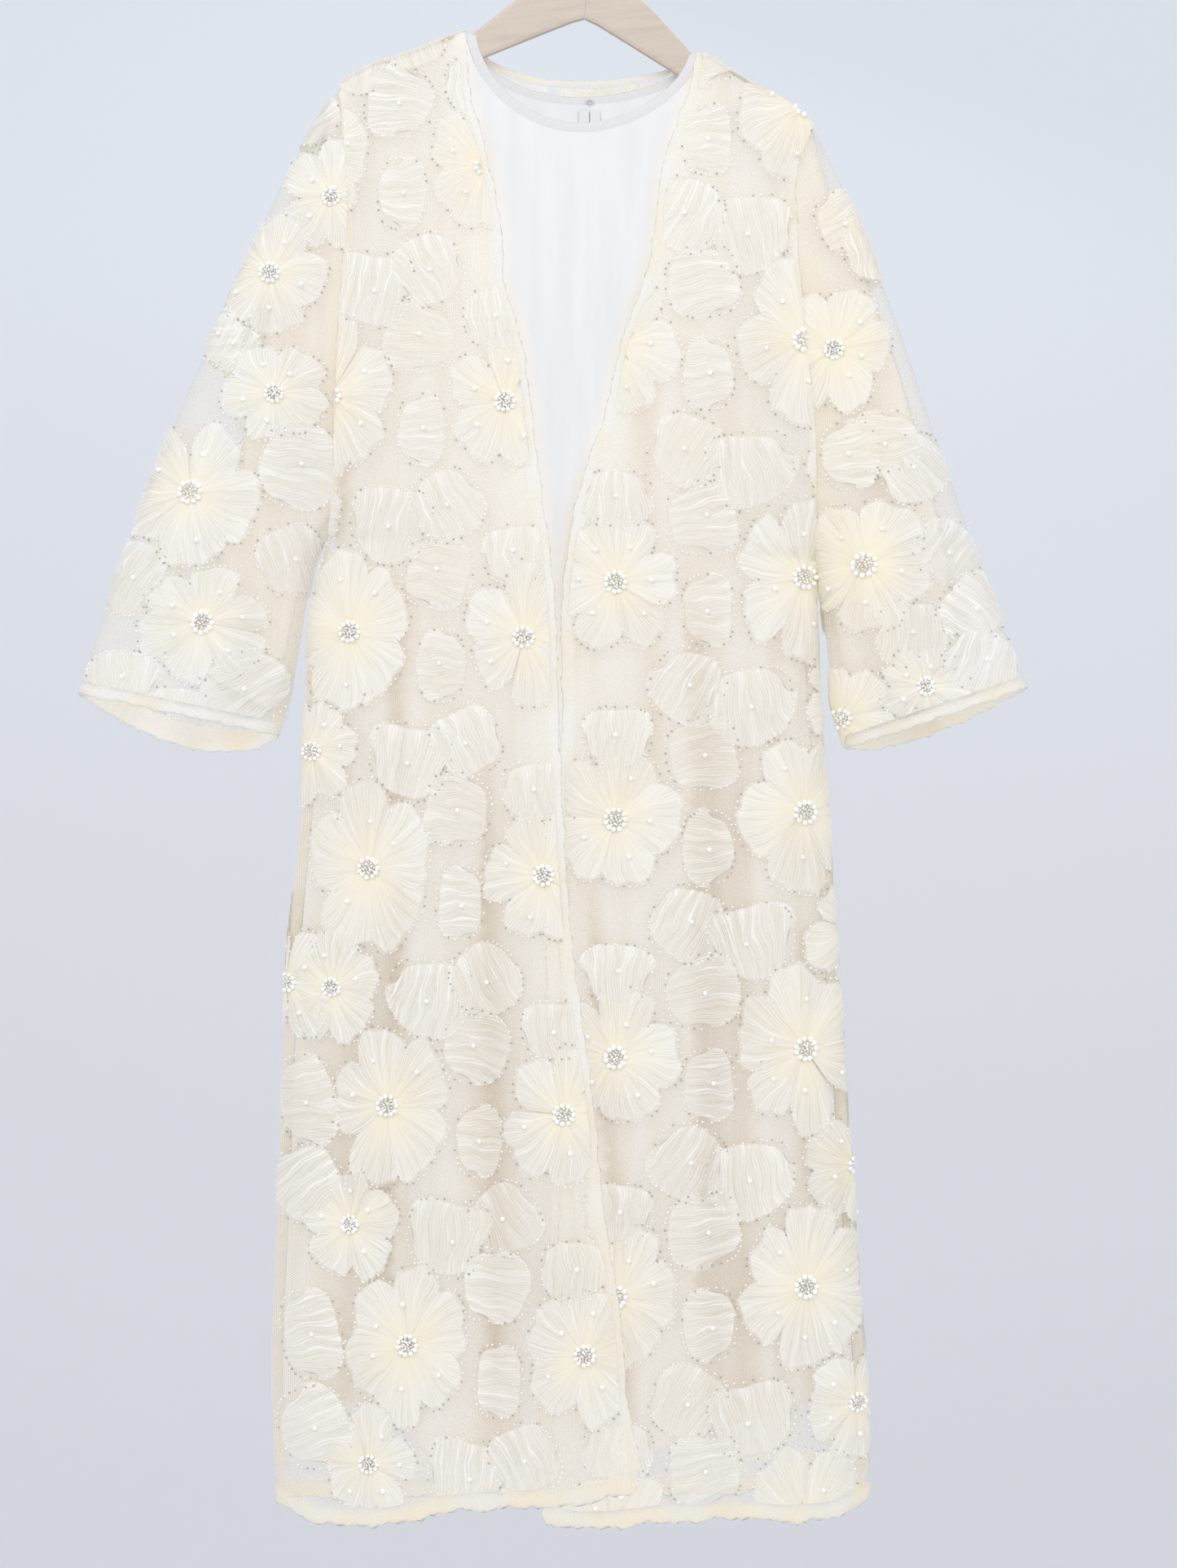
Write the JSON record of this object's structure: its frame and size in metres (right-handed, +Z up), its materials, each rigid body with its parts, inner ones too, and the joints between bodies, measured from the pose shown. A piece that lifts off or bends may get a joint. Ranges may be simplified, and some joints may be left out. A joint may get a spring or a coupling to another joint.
{
  "type": "open-front net abaya with under-dress on a wooden hanger",
  "caption": "Long open-front sheer net abaya with gathered flower appliques over a plain satin under-dress, hanging flat on a wooden hanger.",
  "frame": {"origin": "hang point, the inside top of the hanger's hook", "axes": "+Z up, front of the garment towards -Y, +X to the viewer's right (the wearer's left side)"},
  "size_m": [0.868, 0.1524, 1.4825],
  "materials": {
    "ivory_net": "sheer tulle",
    "cream_binding": "soft, overlocked",
    "white_satin": "matte satin",
    "white_neckband": "ribbed topstitch",
    "zip_tape": "woven tape",
    "beech_wood": "satin varnish",
    "hook_steel": "polished wire"
  },
  "bodies": {
    "root": {"robe_front_left": "ivory_net", "robe_front_right": "ivory_net", "robe_back": "ivory_net", "robe_sleeve_left": "ivory_net", "robe_sleeve_right": "ivory_net", "robe_front_binding_left": "cream_binding", "robe_front_binding_right": "cream_binding", "robe_neck_binding": "cream_binding", "robe_hem_left": "cream_binding", "robe_hem_right": "cream_binding", "robe_hem_back": "cream_binding", "robe_cuff_left": "cream_binding", "robe_cuff_right": "cream_binding", "dress_front": "white_satin", "dress_back": "white_satin", "dress_sleeve_left": "white_satin", "dress_sleeve_right": "white_satin", "neckband_front": "white_neckband", "neckband_back": "white_neckband", "zip_tape_left": "zip_tape", "zip_tape_right": "zip_tape", "zip_slider": "hook_steel", "hook_and_eye": "hook_steel", "hanger_arm_left": "beech_wood", "hanger_arm_right": "beech_wood", "hanger_hook": "hook_steel"}
  },
  "joints": []
}
